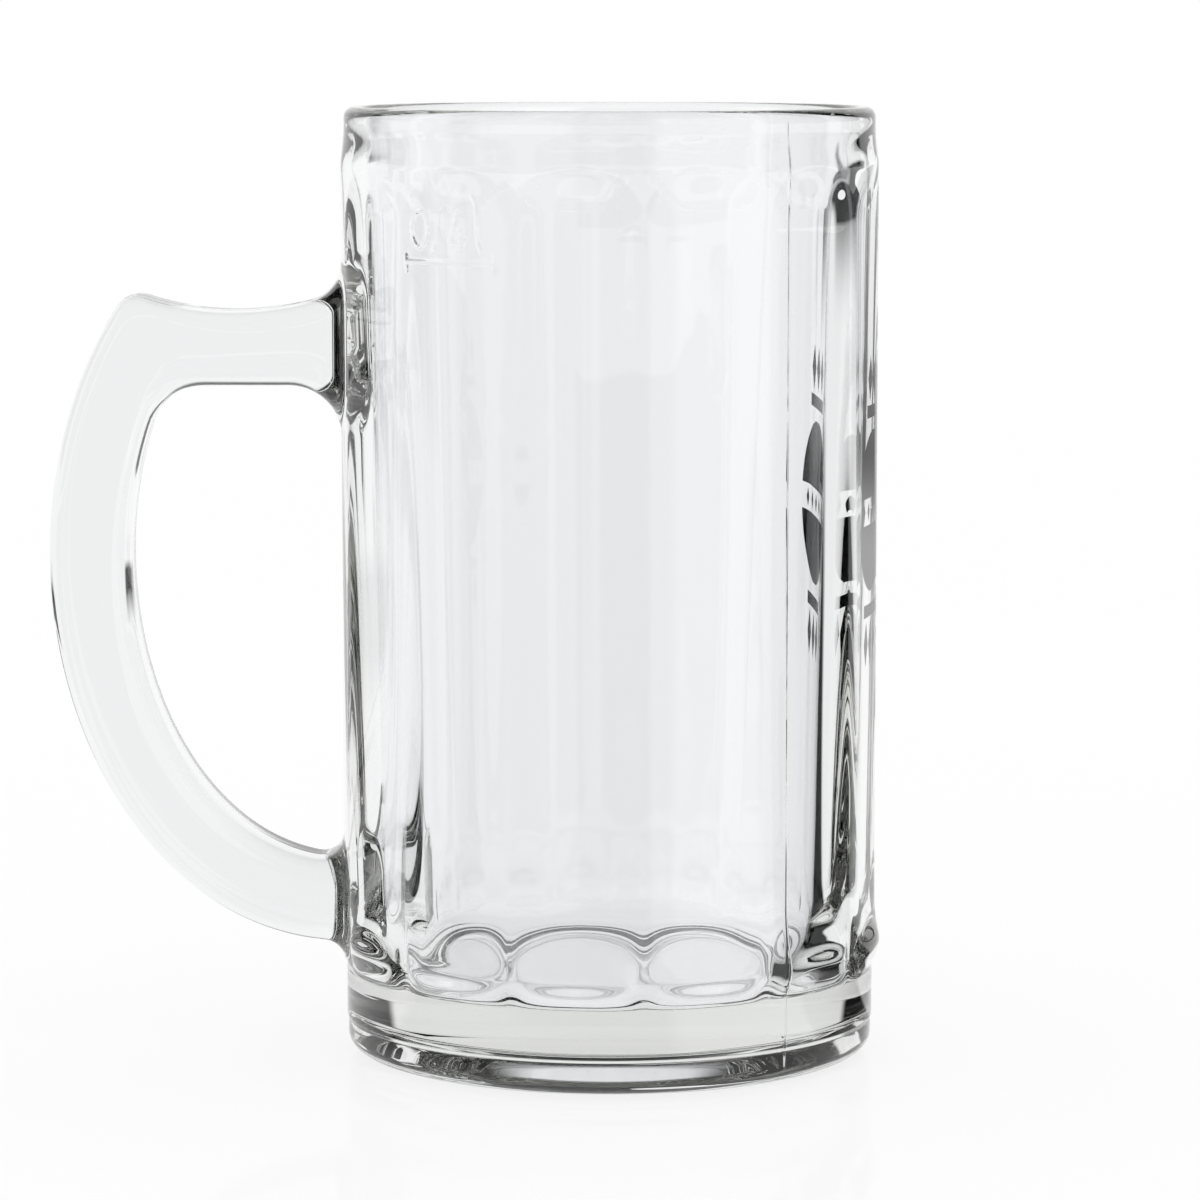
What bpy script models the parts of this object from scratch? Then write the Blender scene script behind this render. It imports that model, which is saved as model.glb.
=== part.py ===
"""Pressed-glass beer mug: a panelled vessel with a solid D-shaped handle.

The mug stands on the XY plane with its axis on Z, and the handle points along -X.
All sizes are in metres.
"""

import math

import bmesh
import bpy
from mathutils import Vector

# The vessel's outside
HEIGHT = 0.146
BODY_RADIUS = 0.04125
RIM_INSET = 0.00055
BASE_INSET = 0.0004
LIP_OUTER_ROUND = 0.0016
LIP_INNER_ROUND = 0.0012
SHOULDER_HEIGHT = 0.0060
BASE_BAND_HEIGHT = 0.0138
HEEL_HEIGHT = 0.0056
HEEL_INSET = 0.0002
HEEL_ROUND = 0.0030
HEEL_DRAW = 0.0042

# The underside: a flat foot ring round a hollow
FOOT_LAND = 0.0026
PUNT_FLANK = 0.0045
PUNT_RISE = 0.0045
PUNT_DOME = 0.0005

# The vessel's inside
RIM_WALL = 0.0034
FLOOR_WALL = 0.0092
FLOOR_THICKNESS = 0.0118
FLOOR_FILLET = 0.0050

# The arched panels: one place in the ring of panels is the handle's
PANEL_PLACES = 13
PANEL_LAND = 0.0036
ARCH_DROP = 0.0092
PANEL_FOOT_RISE = 0.0030
PANEL_CLEARANCE = 0.0030

# The rounded bead that swells out at each panel's foot, just above the base band
BEAD_HEIGHT = 0.0132
BEAD_CREST = 0.0047
BEAD_SWELL = 0.0019
BEAD_NOSE_SLOPE = 0.60
BEAD_BLEND = 0.0018
BEAD_HALF_WIDTH = 0.0093
BEAD_SINK = 0.0002
BEAD_ROOT = 0.0020

# The handle, seen from its side
HANDLE_REACH = 0.0447
GRIP_DEPTH = 0.0124
GRIP_WIDTH = 0.0160
FOOT_LIFT = 0.0175
ARM_DROP = 0.0281
ARM_DEPTH = 0.0144
SADDLE_DIP = 0.0031
THUMB_SINE = 0.687
CORNER_ROUND = 0.0062
INNER_EDGE_ROUND = 0.0044
OUTER_EDGE_ROUND = 0.0030

# The handle's roots on the wall
ROOT_FILLET = 0.0042
FOOT_FILLET = 0.0032
ARM_FILLET = 0.0080
ROOT_SIDE_FILLET = 0.0025
ROOT_DEPTH = 0.0060
SEAT_GAP = 0.0003

# Facets
STEPS_PER_PLACE = 8
ROUND_STEPS = 4
RUNOUT_STEPS = 6
PUNT_STEPS = 3
BEAD_ROWS = 8
BEAD_COLUMNS = 8
ARM_STATIONS = 3
GRIP_STATIONS = 9
ROOT_SHARES = (1.0, 0.5, 0.2, 0.05)
SMOOTH_LEVELS = 2
SHARP_ANGLE = math.radians(30.0)

# Places that follow from the sizes above
RIM_RADIUS = BODY_RADIUS - RIM_INSET
BASE_RADIUS = BODY_RADIUS - BASE_INSET
BORE_RIM_RADIUS = RIM_RADIUS - RIM_WALL
BORE_FLOOR_RADIUS = BODY_RADIUS - FLOOR_WALL
PLACE_ANGLE = 2.0 * math.pi / PANEL_PLACES
HALF_PANEL = BODY_RADIUS * math.sin(PLACE_ANGLE / 2.0) - PANEL_LAND / 2.0
PANEL_APOTHEM = math.sqrt(BODY_RADIUS ** 2 - HALF_PANEL ** 2)
PANEL_SAG = BODY_RADIUS - PANEL_APOTHEM
ARCH_TOP = HEIGHT - ARCH_DROP
ARM_TOP = HEIGHT - ARM_DROP
ARM_UNDERSIDE = ARM_TOP - ARM_DEPTH
GRIP_HALF_HEIGHT = (ARM_TOP - FOOT_LIFT) / (1.0 + THUMB_SINE)
GRIP_CENTRE = FOOT_LIFT + GRIP_HALF_HEIGHT


def clear_scene():
    """Remove every object that the file starts with."""
    for thing in list(bpy.data.objects):
        bpy.data.objects.remove(thing, do_unlink=True)


def make_collection(name):
    """Make a collection under the scene's own."""
    collection = bpy.data.collections.new(name)
    bpy.context.scene.collection.children.link(collection)
    return collection


def glass(name, tint, roughness):
    """Clear pressed glass with a faint tint."""
    material = bpy.data.materials.new(name)
    material.use_nodes = True
    shader = material.node_tree.nodes["Principled BSDF"]
    shader.inputs["Base Color"].default_value = (*tint, 1.0)
    shader.inputs["Metallic"].default_value = 0.0
    shader.inputs["Roughness"].default_value = roughness
    shader.inputs["IOR"].default_value = 1.52
    shader.inputs["Transmission Weight"].default_value = 1.0
    return material


def place(name, mesh, collection):
    """Put a mesh into a collection as a named object."""
    thing = bpy.data.objects.new(name, mesh)
    collection.objects.link(thing)
    return thing


def as_helper(thing):
    """Keep a helping shape out of the finished model."""
    thing.hide_render = True
    thing.display_type = "WIRE"
    return thing


def settle(thing):
    """Replace an object's mesh by what its modifiers make of it, shaded smooth."""
    graph = bpy.context.evaluated_depsgraph_get()
    mesh = bpy.data.meshes.new_from_object(thing.evaluated_get(graph))
    mesh.name = thing.name
    thing.modifiers.clear()
    thing.data = mesh
    mesh.shade_smooth()
    mesh.set_sharp_from_angle(angle=SHARP_ANGLE)


def arc(centre, radius, start, end, steps):
    """Points on a circular arc, from one angle in degrees to another."""
    points = []
    for step in range(steps + 1):
        angle = math.radians(start + (end - start) * step / steps)
        points.append((centre[0] + radius * math.cos(angle), centre[1] + radius * math.sin(angle)))
    return points


def bore_wall():
    """The bore's lowest and highest wall points, and the wall's lean from upright."""
    low = (BORE_FLOOR_RADIUS, FLOOR_THICKNESS + FLOOR_FILLET)
    high = (BORE_RIM_RADIUS, HEIGHT - LIP_INNER_ROUND)
    lean = math.degrees(math.atan2(high[0] - low[0], high[1] - low[1]))
    return low, high, lean


def inside_profile():
    """Half section of the inside, from the middle of the floor up to the rim."""
    low, high, lean = bore_wall()
    fillet_centre = (low[0] - FLOOR_FILLET, low[1])
    lip_centre = (high[0] + LIP_INNER_ROUND, high[1])
    floor = [(0.0, FLOOR_THICKNESS)]
    fillet = arc(fillet_centre, FLOOR_FILLET, -90.0, -lean, ROUND_STEPS)
    lip = arc(lip_centre, LIP_INNER_ROUND, 180.0 - lean, 90.0, ROUND_STEPS)
    return floor + fillet + lip


def outside_profile():
    """Half section of the outside, from the rim down to the middle of the base."""
    lip_centre = (RIM_RADIUS - LIP_OUTER_ROUND, HEIGHT - LIP_OUTER_ROUND)
    heel_radius = BASE_RADIUS - HEEL_INSET
    lip = arc(lip_centre, LIP_OUTER_ROUND, 90.0, 0.0, ROUND_STEPS)
    shoulder = [(RIM_RADIUS, ARCH_TOP + SHOULDER_HEIGHT), (BODY_RADIUS, ARCH_TOP)]
    band = [
        (BODY_RADIUS, BASE_BAND_HEIGHT),
        (BASE_RADIUS, BASE_BAND_HEIGHT - BASE_INSET),
        (BASE_RADIUS, HEEL_HEIGHT),
    ]
    heel = []
    for drawn, height in arc((0.0, 1.0), 1.0, 0.0, -90.0, ROUND_STEPS):
        heel.append((heel_radius - HEEL_DRAW * (1.0 - drawn), HEEL_ROUND * height))
    return lip + shoulder + band + heel + underside_profile()


def underside_profile():
    """Half section of the underside, from the foot ring's inner edge to the middle of the hollow."""
    edge = BASE_RADIUS - HEEL_INSET - HEEL_DRAW - FOOT_LAND
    points = []
    for step in range(PUNT_STEPS + 1):
        share = step / PUNT_STEPS
        eased = share * share * (3.0 - 2.0 * share)
        points.append((edge - PUNT_FLANK * share, PUNT_RISE * eased))
    return points + [(0.0, PUNT_RISE + PUNT_DOME)]


def turned_vessel(collection):
    """Turn the vessel's half section about the mug's axis."""
    profile = inside_profile() + outside_profile()
    mesh = bpy.data.meshes.new("vessel_section")
    points = [(radius, 0.0, height) for radius, height in profile]
    edges = [(index, index + 1) for index in range(len(points) - 1)]
    mesh.from_pydata(points, edges, [])
    vessel = place("vessel", mesh, collection)
    turn = vessel.modifiers.new("turn", "SCREW")
    turn.axis = "Z"
    turn.angle = 2.0 * math.pi
    turn.steps = PANEL_PLACES * STEPS_PER_PLACE
    turn.render_steps = turn.steps
    turn.use_merge_vertices = True
    turn.merge_threshold = 0.00001
    turn.use_normal_calculate = False
    return vessel


def panel_outline():
    """Side outline of the tool that cuts one panel: a flat with a curved run-out at each end."""
    clear_radius = BODY_RADIUS + PANEL_CLEARANCE
    depth = clear_radius - PANEL_APOTHEM

    def runout(rise, height, direction):
        radius = (rise ** 2 + PANEL_SAG ** 2) / (2.0 * PANEL_SAG)
        sweep = math.acos(1.0 - min(depth / radius, 1.0))
        points = []
        for step in range(RUNOUT_STEPS + 1):
            angle = sweep * step / RUNOUT_STEPS
            out = PANEL_APOTHEM + radius * (1.0 - math.cos(angle))
            points.append((out, height + direction * radius * math.sin(angle)))
        return points

    top = runout(HALF_PANEL, ARCH_TOP - HALF_PANEL, 1.0)
    bottom = runout(PANEL_FOOT_RISE, BASE_BAND_HEIGHT + PANEL_FOOT_RISE, -1.0)
    return list(reversed(bottom)) + top


def panel_cutter_mesh():
    """Extrude the panel's side outline across the panel and weld it into a closed mesh."""
    curve = bpy.data.curves.new("panel_outline", "CURVE")
    curve.dimensions = "2D"
    curve.fill_mode = "BOTH"
    curve.extrude = BODY_RADIUS * math.sin(PLACE_ANGLE / 2.0)
    outline = panel_outline()
    spline = curve.splines.new("POLY")
    spline.points.add(len(outline) - 1)
    for point, (out, height) in zip(spline.points, outline):
        point.co = (out, height, 0.0, 1.0)
    spline.use_cyclic_u = True
    carrier = place("panel_outline", curve, bpy.context.scene.collection)
    carrier.rotation_euler = (math.pi / 2.0, 0.0, 0.0)
    bpy.context.view_layer.update()
    graph = bpy.context.evaluated_depsgraph_get()
    mesh = bpy.data.meshes.new_from_object(carrier.evaluated_get(graph))
    mesh.transform(carrier.matrix_world)
    shape = bmesh.new()
    shape.from_mesh(mesh)
    bmesh.ops.remove_doubles(shape, verts=shape.verts, dist=0.00001)
    bmesh.ops.recalc_face_normals(shape, faces=shape.faces)
    shape.to_mesh(mesh)
    shape.free()
    bpy.data.objects.remove(carrier, do_unlink=True)
    return mesh


def cut_panels(vessel, cutters):
    """Cut an arched panel at every place of the ring but the handle's."""
    mesh = panel_cutter_mesh()
    for number in range(1, PANEL_PLACES):
        cutter = as_helper(place(f"panel_cutter_{number}", mesh, cutters))
        cutter.rotation_euler = (0.0, 0.0, math.pi + number * PLACE_ANGLE)
    cut = vessel.modifiers.new("panels", "BOOLEAN")
    cut.operation = "DIFFERENCE"
    cut.operand_type = "COLLECTION"
    cut.collection = cutters
    cut.solver = "EXACT"


def bead_swell(rise):
    """How far a bead's middle stands out of its panel at a height above the base band."""
    slope_out = BEAD_SWELL * ((BEAD_HEIGHT - rise) / (BEAD_HEIGHT - BEAD_CREST)) ** 2
    nose = BEAD_NOSE_SLOPE * rise
    near = max(BEAD_BLEND - abs(slope_out - nose), 0.0) / BEAD_BLEND
    return max(min(slope_out, nose) - near ** 2 * BEAD_BLEND / 4.0, 0.0)


def bead_mesh():
    """Closed bead for the panel on the +X side, with its edges sunk into the wall."""
    shape = bmesh.new()
    front = []
    back = []
    for row in range(BEAD_ROWS + 1):
        rise = BEAD_HEIGHT * row / BEAD_ROWS
        height = BASE_BAND_HEIGHT + rise
        for column in range(BEAD_COLUMNS + 1):
            share = 2.0 * column / BEAD_COLUMNS - 1.0
            angle = math.atan2(share * BEAD_HALF_WIDTH, PANEL_APOTHEM)
            wall = min(BODY_RADIUS, PANEL_APOTHEM / math.cos(angle))
            out = wall + bead_swell(rise) * (1.0 - share ** 2) - BEAD_SINK
            inside = PANEL_APOTHEM - BEAD_ROOT
            front.append(shape.verts.new((out * math.cos(angle), out * math.sin(angle), height)))
            back.append(shape.verts.new((inside * math.cos(angle), inside * math.sin(angle), height)))
    across = BEAD_COLUMNS + 1
    for row in range(BEAD_ROWS):
        for column in range(BEAD_COLUMNS):
            first = row * across + column
            corners = (first, first + 1, first + across + 1, first + across)
            shape.faces.new([front[corner] for corner in corners])
            shape.faces.new([back[corner] for corner in reversed(corners)])
    bottom = list(range(across))
    right = [row * across + BEAD_COLUMNS for row in range(1, BEAD_ROWS + 1)]
    top = [BEAD_ROWS * across + column for column in reversed(range(BEAD_COLUMNS))]
    left = [row * across for row in reversed(range(1, BEAD_ROWS))]
    border = bottom + right + top + left
    for first, second in zip(border, border[1:] + border[:1]):
        shape.faces.new((front[second], front[first], back[first], back[second]))
    bmesh.ops.recalc_face_normals(shape, faces=shape.faces)
    mesh = bpy.data.meshes.new("bead")
    shape.to_mesh(mesh)
    shape.free()
    return mesh


def add_beads(vessel, beads):
    """Join a bead to the foot of every panel."""
    mesh = bead_mesh()
    for number in range(1, PANEL_PLACES):
        bead = as_helper(place(f"bead_{number}", mesh, beads))
        bead.rotation_euler = (0.0, 0.0, math.pi + number * PLACE_ANGLE)
    join = vessel.modifiers.new("beads", "BOOLEAN")
    join.operation = "UNION"
    join.operand_type = "COLLECTION"
    join.collection = beads
    join.solver = "EXACT"


def flare(distance, fillet):
    """How far a root fillet spreads at a distance from the wall."""
    if distance >= fillet:
        return 0.0
    reach = fillet - max(distance, 0.0)
    return fillet - math.sqrt(fillet ** 2 - reach ** 2)


def saddle_height(distance):
    """Height of the upper arm's hollowed top at a distance from the wall."""
    half = HANDLE_REACH * math.sqrt(1.0 - THUMB_SINE ** 2) / 2.0
    return ARM_TOP - SADDLE_DIP * (1.0 - ((distance - half) / half) ** 2)


def upper_root(distance):
    """Outer and inner edge points of the upper arm close to the wall."""
    out = max(distance, 0.0)
    top = saddle_height(out) + flare(out, ROOT_FILLET)
    under = ARM_UNDERSIDE - flare(out, ARM_FILLET)
    return (distance, top), (distance, under)


def lower_root(distance):
    """Outer and inner edge points of the handle's foot close to the wall."""
    out = max(distance, 0.0)
    outer_drop = GRIP_HALF_HEIGHT * math.sqrt(1.0 - (out / HANDLE_REACH) ** 2)
    inner_reach = HANDLE_REACH - GRIP_DEPTH
    inner_drop = (GRIP_HALF_HEIGHT - GRIP_DEPTH) * math.sqrt(1.0 - (out / inner_reach) ** 2)
    under = GRIP_CENTRE - outer_drop - flare(out, FOOT_FILLET)
    top = GRIP_CENTRE - inner_drop + flare(out, ROOT_FILLET)
    return (distance, under), (distance, top)


def grip_station(share):
    """Outer and inner edge points of the grip, from the thumb rest at 0 to the wall at 1."""
    inner_reach = HANDLE_REACH - GRIP_DEPTH
    inner_half = GRIP_HALF_HEIGHT - GRIP_DEPTH
    thumb_angle = math.asin(THUMB_SINE)
    corner_angle = math.asin((ARM_UNDERSIDE - GRIP_CENTRE) / inner_half)
    outer_angle = thumb_angle - share * (thumb_angle + math.pi / 2.0)
    inner_angle = corner_angle - share * (corner_angle + math.pi / 2.0)
    outer_height = GRIP_CENTRE + GRIP_HALF_HEIGHT * math.sin(outer_angle)
    inner_height = GRIP_CENTRE + inner_half * math.sin(inner_angle)
    outer = (HANDLE_REACH * math.cos(outer_angle), outer_height)
    inner = (inner_reach * math.cos(inner_angle), inner_height)
    return outer, inner


def rounded_corner(corner, before, after):
    """Middle of the fillet that rounds a corner between two neighbours."""
    first = math.atan2(before[1] - corner[1], before[0] - corner[0])
    second = math.atan2(after[1] - corner[1], after[0] - corner[0])
    opening = (second - first) % (2.0 * math.pi)
    middle = first + opening / 2.0
    pull = CORNER_ROUND * (1.0 / math.sin(opening / 2.0) - 1.0)
    return corner[0] + pull * math.cos(middle), corner[1] + pull * math.sin(middle)


def handle_stations():
    """Pairs of edge points along the handle, from inside the wall at the top to its foot."""
    root_distances = [ARM_FILLET * share for share in ROOT_SHARES]
    peak, corner = grip_station(0.0)
    below = grip_station(1.0 / (GRIP_STATIONS + 1))[1]
    stations = [upper_root(-ROOT_DEPTH)]
    stations += [upper_root(distance) for distance in reversed(root_distances)]
    for number in range(1, ARM_STATIONS + 1):
        share = number / (ARM_STATIONS + 1)
        outer_out = ARM_FILLET + share * (peak[0] - ARM_FILLET)
        inner_out = ARM_FILLET + share * (corner[0] - ARM_FILLET)
        stations.append(((outer_out, saddle_height(outer_out)), (inner_out, ARM_UNDERSIDE)))
    stations.append((peak, rounded_corner(corner, (0.0, corner[1]), below)))
    stations += [grip_station(number / (GRIP_STATIONS + 1)) for number in range(1, GRIP_STATIONS + 1)]
    stations += [lower_root(distance) for distance in root_distances]
    stations.append(lower_root(-ROOT_DEPTH))
    return stations


def section_ring(outer, inner):
    """Eight corners of the handle's rounded section between two edge points."""
    depth = math.dist(outer, inner)
    nearest = max(min(outer[0], inner[0]), 0.0)
    half_width = GRIP_WIDTH / 2.0 + flare(nearest, ROOT_SIDE_FILLET)
    inner_flat = half_width - INNER_EDGE_ROUND
    outer_flat = half_width - OUTER_EDGE_ROUND
    corners = [
        (0.0, inner_flat),
        (0.0, -inner_flat),
        (INNER_EDGE_ROUND, -half_width),
        (depth - OUTER_EDGE_ROUND, -half_width),
        (depth, -outer_flat),
        (depth, outer_flat),
        (depth - OUTER_EDGE_ROUND, half_width),
        (INNER_EDGE_ROUND, half_width),
    ]
    ring = []
    for along, across in corners:
        share = along / depth
        out = BODY_RADIUS + inner[0] + share * (outer[0] - inner[0])
        height = inner[1] + share * (outer[1] - inner[1])
        ring.append(Vector((-out, across, height)))
    return ring


def led_through(rings):
    """Move each ring outwards by what smoothing takes off, so that the smooth form keeps its size."""
    led = [rings[0]]
    for before, ring, after in zip(rings, rings[1:], rings[2:]):
        moved = []
        for low, point, high in zip(before, ring, after):
            moved.append(point - (low - 2.0 * point + high) / 6.0)
        led.append(moved)
    return led + [rings[-1]]


def handle_cage():
    """Coarse cage of the handle, lofted through its stations and capped inside the wall."""
    shape = bmesh.new()
    sections = [section_ring(outer, inner) for outer, inner in handle_stations()]
    rings = []
    for section in led_through(sections):
        rings.append([shape.verts.new(point) for point in section])
    for first, second in zip(rings, rings[1:]):
        count = len(first)
        for index in range(count):
            after = (index + 1) % count
            shape.faces.new((first[index], first[after], second[after], second[index]))
    shape.faces.new(rings[0])
    shape.faces.new(rings[-1])
    bmesh.ops.recalc_face_normals(shape, faces=shape.faces)
    mesh = bpy.data.meshes.new("handle")
    shape.to_mesh(mesh)
    shape.free()
    return mesh


def wall_cutter(collection):
    """A plug the size of the vessel's outside, with the seat's gap added."""
    steps = PANEL_PLACES * STEPS_PER_PLACE
    radius = (BODY_RADIUS + SEAT_GAP) / math.cos(math.pi / steps)
    bpy.ops.mesh.primitive_cylinder_add(vertices=steps, radius=radius, depth=2.0 * HEIGHT)
    cutter = bpy.context.object
    cutter.name = "wall_cutter"
    for holder in list(cutter.users_collection):
        holder.objects.unlink(cutter)
    collection.objects.link(cutter)
    cutter.location = (0.0, 0.0, HEIGHT / 2.0)
    return as_helper(cutter)


def shaped_handle(collection, cutters):
    """Smooth the handle's cage and trim its two roots to the wall."""
    handle = place("handle", handle_cage(), collection)
    smooth = handle.modifiers.new("smooth", "SUBSURF")
    smooth.levels = SMOOTH_LEVELS
    smooth.render_levels = SMOOTH_LEVELS
    trim = handle.modifiers.new("trim", "BOOLEAN")
    trim.operation = "DIFFERENCE"
    trim.object = wall_cutter(cutters)
    trim.solver = "EXACT"
    return handle


def build():
    """Model the mug."""
    clear_scene()
    parts = make_collection("glass_beer_mug")
    panel_cutters = make_collection("panel_cutters")
    beads = make_collection("panel_beads")
    root_cutters = make_collection("root_cutters")
    vessel = turned_vessel(parts)
    cut_panels(vessel, panel_cutters)
    add_beads(vessel, beads)
    handle = shaped_handle(parts, root_cutters)
    bpy.context.view_layer.update()
    for thing in (vessel, handle):
        settle(thing)
    vessel.data.materials.append(glass("vessel_glass", (0.97, 0.985, 0.975), 0.02))
    handle.data.materials.append(glass("handle_glass", (0.96, 0.98, 0.97), 0.03))


build()
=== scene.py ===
"""The look of the pressed-glass beer mug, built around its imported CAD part.

Every length is in metres and every angle in radians, in the part's own frame: the mug
stands on the XY plane with its axis on Z, and the handle points along -X. A turn is an
angle about the axis that starts at the handle and grows towards the photograph's camera.
"""

import logging
import math
from dataclasses import dataclass, field
from enum import Enum

import bmesh
import bpy
import numpy as np
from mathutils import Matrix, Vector


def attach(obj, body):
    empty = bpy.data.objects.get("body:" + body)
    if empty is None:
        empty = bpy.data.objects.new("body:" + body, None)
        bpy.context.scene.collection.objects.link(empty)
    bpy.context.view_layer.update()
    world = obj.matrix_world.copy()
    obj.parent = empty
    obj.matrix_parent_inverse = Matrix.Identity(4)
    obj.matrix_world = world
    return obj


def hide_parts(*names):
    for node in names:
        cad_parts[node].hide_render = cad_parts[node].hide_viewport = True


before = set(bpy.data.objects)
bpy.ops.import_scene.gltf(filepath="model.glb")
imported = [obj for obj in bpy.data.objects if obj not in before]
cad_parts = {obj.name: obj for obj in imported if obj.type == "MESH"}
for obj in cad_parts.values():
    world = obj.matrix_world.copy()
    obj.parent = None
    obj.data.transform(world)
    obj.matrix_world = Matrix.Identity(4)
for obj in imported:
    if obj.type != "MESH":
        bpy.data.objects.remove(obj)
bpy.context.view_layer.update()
LOG = logging.getLogger("mug")

Array = np.ndarray
Point = tuple[float, float]
# A height with its left and right end
Row = tuple[float, float, float]
Colour = tuple[float, float, float]
Socket = bpy.types.NodeSocket
Value = float | Socket
NEAR_ZERO = 1e-6


class Slot(Enum):
    """The record's material slots."""

    GLASS = "clear_glass"
    PRINT = "black_print"


class Side(Enum):
    """Which way a root's outer edge lies on the wall."""

    UPPER = "upper"
    LOWER = "lower"


def eased(value: Array, low: float, high: float) -> Array:
    """Rise smoothly from 0 to 1 between two values.

    Args:
        value: Where to look.
        low: The value at which the rise starts.
        high: The value at which it ends.

    Returns:
        The share for each value.
    """
    share = np.clip((np.asarray(value) - low) / (high - low), 0.0, 1.0)
    return share * share * (3.0 - 2.0 * share)


def soft_min(first: Array, second: Array, blend: float) -> Array:
    """Take the smaller of two values, with a rounded change between them.

    Args:
        first: One surface.
        second: The other surface.
        blend: The difference below which both take part.

    Returns:
        The blended smaller values.
    """
    near = np.maximum(blend - np.abs(first - second), 0.0) / blend
    return np.minimum(first, second) - near * near * blend / 4.0


def arc(centre: Point, radius: float, start: float, end: float, steps: int) -> list[Point]:
    """Make points on a circular arc.

    Args:
        centre: The arc's centre.
        radius: Its radius.
        start: The first angle, in degrees.
        end: The last angle, in degrees.
        steps: How many pieces it has.

    Returns:
        The points, both ends included.
    """
    turns = np.radians(np.linspace(start, end, steps + 1))
    return [(centre[0] + radius * math.cos(t), centre[1] + radius * math.sin(t)) for t in turns]


def bezier(start: Array, middle: Array, end: Array, steps: int) -> Array:
    """Round a corner with a quadratic curve.

    Args:
        start: Where the rounding starts.
        middle: The corner.
        end: Where the rounding ends.
        steps: How many points to make after the start.

    Returns:
        The points, without the start.
    """
    share = np.linspace(0.0, 1.0, steps + 1)[1:, None]
    return (1.0 - share) ** 2 * start + 2.0 * share * (1.0 - share) * middle + share**2 * end


@dataclass(frozen=True)
class CapacityMark:
    """The plain measure in the glass: a fill line with end ticks and its number of litres."""

    place: int = 2
    line_height: float = 0.1237
    line_start: float = -0.0090
    line_end: float = 0.0074
    tick: float = 0.0010
    stroke: float = 0.00030
    depth: float = 0.00026
    top: float = 0.1344
    nought_middle: Point = (-0.0062, 0.1285)
    nought_half: Point = (0.0015, 0.0027)
    nought_steps: int = 16

    def nought(self) -> list[Point]:
        """Make the nought's oval."""
        (across, height), (half, rise) = self.nought_middle, self.nought_half
        turns = np.linspace(0, 2 * math.pi, self.nought_steps + 1)
        return [(across + half * math.cos(t), height + rise * math.sin(t)) for t in turns]

    def strokes(self) -> list[list[Point]]:
        """List the mark's lines.

        Returns:
            Each line's points, across the panel and up.
        """
        line = self.line_height
        ends = (self.line_start, self.line_end)
        four = [(0.0007, 0.1311), (-0.0006, 0.1270), (0.0020, 0.1270)]
        stem = [(0.0012, 0.1284), (0.0014, 0.1258)]
        litre = [(0.0035, 0.1335), (0.0041, 0.1325), (0.0044, 0.1266), (0.0050, 0.1254)]
        comma = [(-0.0034, 0.1264), (-0.0037, 0.1253)]
        ticks = [[(end, line - self.tick), (end, line + self.tick)] for end in ends]
        return [self.nought(), four, stem, litre, comma, [(ends[0], line), (ends[1], line)], *ticks]

    def relief(self, across: Array, height: Array) -> Array:
        """Find how far the mark stands out of the panel.

        Args:
            across: Distance from the panel's middle, to the right from outside.
            height: Height above the underside.

        Returns:
            The relief at each point.
        """
        nearest = np.full(np.broadcast(across, height).shape, 1.0)
        for points in self.strokes():
            for (ax, ay), (bx, by) in zip(points, points[1:]):
                length = (bx - ax) ** 2 + (by - ay) ** 2
                share = np.clip(((across - ax) * (bx - ax) + (height - ay) * (by - ay)) / length, 0.0, 1.0)
                gap = np.hypot(across - ax - share * (bx - ax), height - ay - share * (by - ay))
                nearest = np.minimum(nearest, gap)
        return self.depth * (1.0 - eased(nearest, 0.0, self.stroke))


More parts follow.
